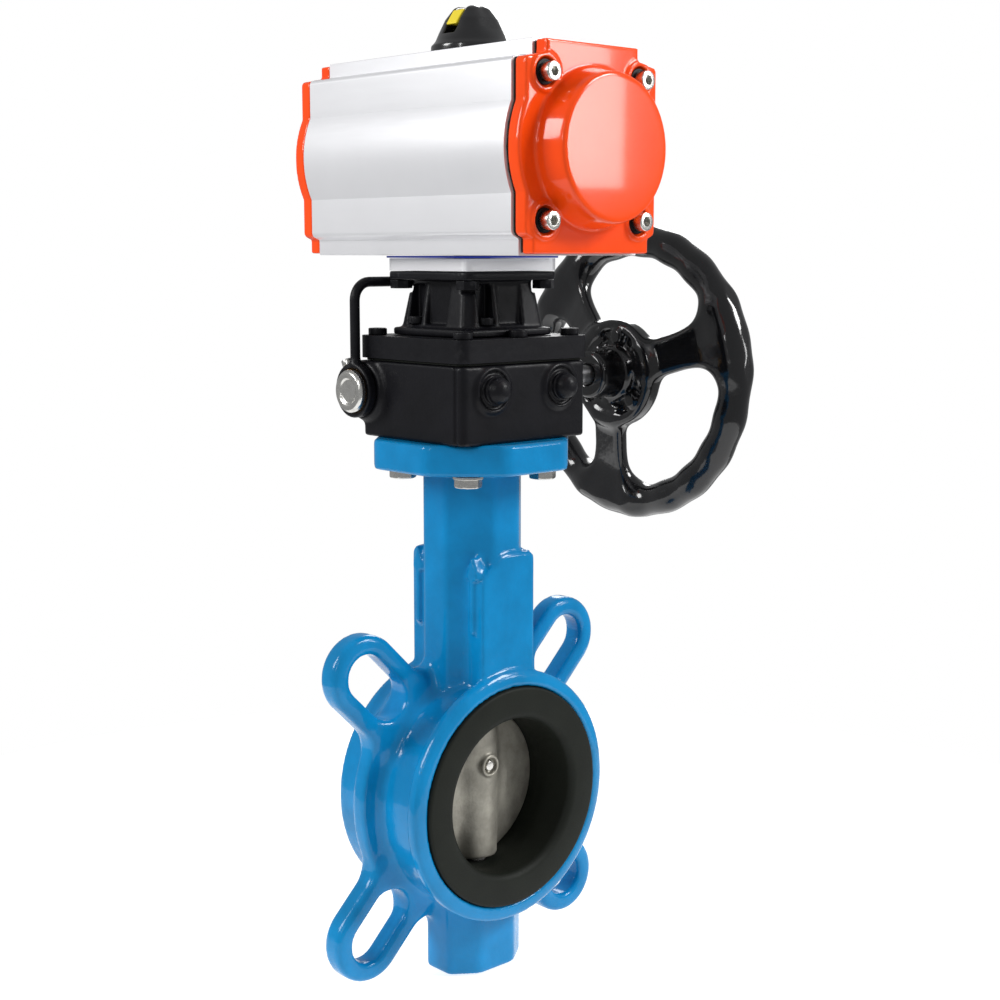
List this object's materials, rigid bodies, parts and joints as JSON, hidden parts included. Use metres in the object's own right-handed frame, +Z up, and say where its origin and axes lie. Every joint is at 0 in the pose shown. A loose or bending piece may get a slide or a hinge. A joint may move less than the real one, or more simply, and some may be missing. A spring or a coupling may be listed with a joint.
{
  "type": "rotary pneumatic actuator",
  "caption": "Quarter-turn rack-and-pinion pneumatic actuator with a declutchable worm gearbox and handwheel, on a wafer butterfly valve.",
  "frame": {"origin": "where the pipe axis crosses the valve stem's axis, at the middle of the disc", "axes": "+X along the pipe axis and the actuator's piston axis, +Y from the stem towards the handwheel, +Z up the stem to the position indicator"},
  "size_m": [0.212, 0.248, 0.4827],
  "materials": {
    "blue_paint": "gloss blue epoxy paint on cast iron",
    "black_rubber": "matt black EPDM",
    "stainless": "machined stainless steel",
    "cast_stainless": "cast stainless steel, blasted",
    "bronze": "machined bronze",
    "ptfe": "filled PTFE",
    "black_paint": "semi-matt black paint on castings and rod",
    "black_plastic": "black moulded plastic",
    "gloss_black": "gloss black paint on a casting",
    "steel": "machined carbon steel",
    "anodised": "clear anodised extrusion",
    "blue_gasket": "blue sheet gasket",
    "orange_paint": "gloss orange-red powder coat",
    "die_cast": "die-cast aluminium",
    "yellow_plastic": "yellow moulded plastic"
  },
  "bodies": {
    "housing": {"valve_body": "blue_paint", "seat_liner": "black_rubber", "stem_bush_upper": "ptfe", "stem_bush_lower": "ptfe", "stem_o_ring": "black_rubber", "stem_gland_ring": "bronze", "valve_flange_bolt_1": "stainless", "valve_flange_bolt_2": "stainless", "valve_flange_bolt_3": "stainless", "valve_flange_bolt_4": "stainless", "gearbox_housing": "black_paint", "cover_gasket": "black_rubber", "gearbox_cover": "black_paint", "sleeve_bush_lower": "bronze", "sleeve_bush_upper": "bronze", "stop_bolt_1": "black_paint", "stop_bolt_2": "black_paint", "mounting_spool": "black_paint", "adapter_plate": "anodised", "mounting_gasket": "blue_gasket", "actuator_body": "anodised", "end_cap_left": "orange_paint", "end_cap_right": "orange_paint", "cap_gasket_left": "black_rubber", "cap_gasket_right": "black_rubber", "cap_screw_1": "stainless", "cap_screw_2": "stainless", "cap_screw_3": "stainless", "cap_screw_4": "stainless", "cap_screw_5": "stainless", "cap_screw_6": "stainless", "cap_screw_7": "stainless", "cap_screw_8": "stainless", "travel_stop_bolt_1": "stainless", "travel_stop_bolt_2": "stainless", "pinion_bearing_lower": "ptfe", "pinion_bearing_upper": "ptfe"},
    "drive_train": {"valve_disc": "cast_stainless", "valve_stem": "stainless", "disc_pin": "stainless", "drive_sleeve": "steel", "quadrant_key": "steel", "worm_quadrant": "bronze", "pinion": "steel", "stop_cam": "steel", "pinion_circlip": "steel", "indicator_cap": "black_plastic", "indicator_insert": "yellow_plastic", "indicator_screw": "stainless"},
    "piston_left_body": {"piston_left": "die_cast", "piston_o_ring_left": "black_rubber"},
    "piston_right_body": {"piston_right": "die_cast", "piston_o_ring_right": "black_rubber"},
    "declutch": {"eccentric_bush_front": "bronze", "eccentric_bush_rear": "bronze", "declutch_lever": "black_paint", "worm_end_cap": "stainless"},
    "worm": {"worm_shaft": "steel", "handwheel": "gloss_black", "handwheel_nut": "stainless"}
  },
  "joints": [
    {"name": "declutch_turn", "type": "hinge", "parent": "housing", "child": "declutch", "pos_m": [-0.034, 0, 0.203], "axis": [0, -1, 0], "range_deg": [0, 100]},
    {"name": "handwheel_turn", "type": "hinge", "parent": "declutch", "child": "worm", "pos_m": [-0.031, 0, 0.203], "axis": [0, 1, 0], "range_deg": [0, 3600]},
    {"name": "drive_turn", "type": "hinge", "parent": "housing", "child": "drive_train", "pos_m": [0, 0, 0.3164], "axis": [0, 0, 1], "range_deg": [0, 90]},
    {"name": "piston_left_slide", "type": "slide", "parent": "housing", "child": "piston_left_body", "axis": [-1, 0, 0], "range_m": [0, 0.0189]},
    {"name": "piston_right_slide", "type": "slide", "parent": "housing", "child": "piston_right_body", "axis": [1, 0, 0], "range_m": [0, 0.0189]}
  ],
  "couplings": [
    {"joint": "drive_turn", "follows": "handwheel_turn", "ratio": 0.025},
    {"joint": "piston_left_slide", "follows": "handwheel_turn", "m_per_rad": 0.0003},
    {"joint": "piston_right_slide", "follows": "handwheel_turn", "m_per_rad": 0.0003}
  ]
}
